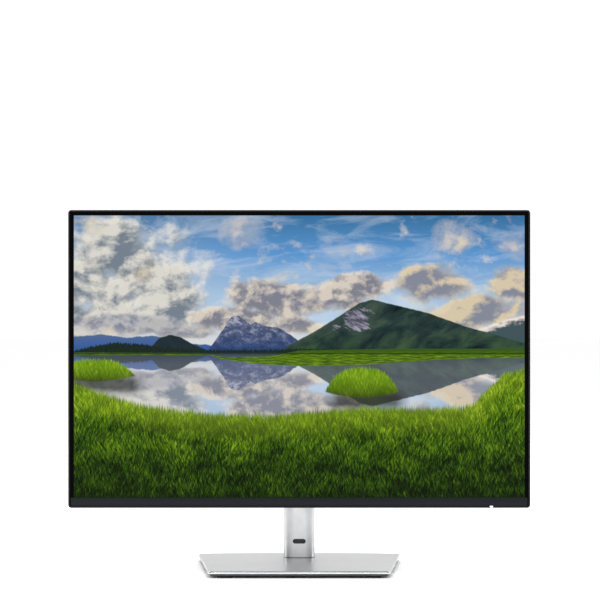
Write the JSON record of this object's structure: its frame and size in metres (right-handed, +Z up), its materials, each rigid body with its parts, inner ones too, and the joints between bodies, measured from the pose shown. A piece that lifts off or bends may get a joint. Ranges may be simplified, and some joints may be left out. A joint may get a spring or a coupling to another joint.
{
  "type": "computer monitor",
  "caption": "Flat widescreen computer monitor on a slim stand with height, tilt, swivel and quarter-turn adjustment, with a power key and menu keys under the bezel.",
  "frame": {"origin": "centre of the bounding box's bottom, on the desk under the feet", "axes": "+X to the viewer's right, along the screen's width; +Y away from the viewer; +Z up"},
  "size_m": [0.5312, 0.179, 0.4184],
  "materials": {
    "satin_silver": "satin metallic silver paint with a polished edge",
    "black_steel": "black powder coat",
    "foot_rubber": "matte black rubber",
    "black_plastic": "fine matte moulded black",
    "chin_plastic": "satin dark grey strip",
    "rear_plastic": "spark-textured black",
    "screen": null,
    "white_film": "white diffusing film",
    "clear_acrylic": "clear acrylic",
    "circuit_board": "solder-masked board",
    "nylon": "natural nylon",
    "cable_jacket": "black flexible jacket",
    "plated_steel": "zinc-plated steel"
  },
  "bodies": {
    "base": {"base_cover": "satin_silver", "base_plate": "black_steel", "swivel_washer": "nylon", "foot_front_left": "foot_rubber", "foot_front_middle": "foot_rubber", "foot_front_right": "foot_rubber", "foot_rear_left": "foot_rubber", "foot_rear_right": "foot_rubber"},
    "riser": {"riser_front_shell": "satin_silver", "riser_rear_shell": "satin_silver", "riser_core": "plated_steel", "mast_guide_left": "nylon", "mast_guide_right": "nylon", "riser_cap": "black_plastic", "riser_badge": "black_plastic", "cable_clip": "black_plastic", "swivel_shaft": "plated_steel", "swivel_clip": "plated_steel"},
    "mast": {"mast_rail": "plated_steel", "spring_band": "plated_steel"},
    "carriage": {"lift_carriage": "plated_steel", "carriage_shoe_left": "nylon", "carriage_shoe_right": "nylon", "tilt_spring": "plated_steel"},
    "lift_drum": {"spring_drum": "plated_steel"},
    "tilt_head": {"tilt_yoke": "plated_steel", "tilt_pin": "plated_steel", "pivot_washer": "nylon", "pivot_nut": "plated_steel", "hinge_cover": "black_plastic"},
    "display": {"front_frame": "black_plastic", "chin_trim": "chin_plastic", "lcd_panel": "screen", "optical_films": "white_film", "light_guide": "clear_acrylic", "led_bar": "white_film", "panel_frame": "black_plastic", "panel_tray": "plated_steel", "timing_board": "circuit_board", "chassis_plate": "plated_steel", "scaler_board": "circuit_board", "power_board": "circuit_board", "ac_inlet": "black_plastic", "video_ports": "plated_steel", "usb_ports": "plated_steel", "panel_cable": "cable_jacket", "rear_cover": "rear_plastic", "mount_plate": "plated_steel", "mount_screw_1": "plated_steel", "mount_screw_2": "plated_steel", "mount_screw_3": "plated_steel", "mount_screw_4": "plated_steel", "pivot_shaft": "plated_steel", "led_light_pipe": "clear_acrylic", "button_board": "circuit_board"},
    "power_key": {"power_button": "black_plastic"},
    "menu_key_1": {"menu_button_1": "black_plastic"},
    "menu_key_2": {"menu_button_2": "black_plastic"},
    "menu_key_3": {"menu_button_3": "black_plastic"},
    "menu_key_4": {"menu_button_4": "black_plastic"}
  },
  "joints": [
    {"name": "swivel", "type": "hinge", "parent": "base", "child": "riser", "pos_m": [0, 0.0555, 0.006], "axis": [0, 0, 1], "range_deg": [-45, 45]},
    {"name": "mast_raise", "type": "slide", "parent": "riser", "child": "mast", "axis": [0, 0, 1], "range_m": [0, 0.146]},
    {"name": "lift", "type": "slide", "parent": "mast", "child": "carriage", "axis": [0, 0, 1], "range_m": [-0.06, 0.09], "deforming": ["spring_band"]},
    {"name": "drum_turn", "type": "hinge", "parent": "carriage", "child": "lift_drum", "pos_m": [0, 0.058, 0.181], "axis": [1, 0, 0], "range_deg": [-630, 420]},
    {"name": "tilt", "type": "hinge", "parent": "carriage", "child": "tilt_head", "pos_m": [0, 0.012, 0.2501], "axis": [-1, 0, 0], "range_deg": [-5, 21]},
    {"name": "pivot", "type": "hinge", "parent": "tilt_head", "child": "display", "pos_m": [0, -0.011, 0.2501], "axis": [0, 1, 0], "range_deg": [0, 90]},
    {"name": "power_key_press", "type": "slide", "parent": "display", "child": "power_key", "axis": [0, 0, 1], "range_m": [0, 0.0007], "stiffness_N_per_m": 300, "springref_m": -0.0006},
    {"name": "menu_key_1_press", "type": "slide", "parent": "display", "child": "menu_key_1", "axis": [0, 0, 1], "range_m": [0, 0.0007], "stiffness_N_per_m": 300, "springref_m": -0.0006},
    {"name": "menu_key_2_press", "type": "slide", "parent": "display", "child": "menu_key_2", "axis": [0, 0, 1], "range_m": [0, 0.0007], "stiffness_N_per_m": 300, "springref_m": -0.0006},
    {"name": "menu_key_3_press", "type": "slide", "parent": "display", "child": "menu_key_3", "axis": [0, 0, 1], "range_m": [0, 0.0007], "stiffness_N_per_m": 300, "springref_m": -0.0006},
    {"name": "menu_key_4_press", "type": "slide", "parent": "display", "child": "menu_key_4", "axis": [0, 0, 1], "range_m": [0, 0.0007], "stiffness_N_per_m": 300, "springref_m": -0.0006}
  ],
  "couplings": [
    {"joint": "mast_raise", "follows": "pivot", "m_per_rad": 0.092946},
    {"joint": "drum_turn", "follows": "lift", "rad_per_m": -120.48}
  ]
}
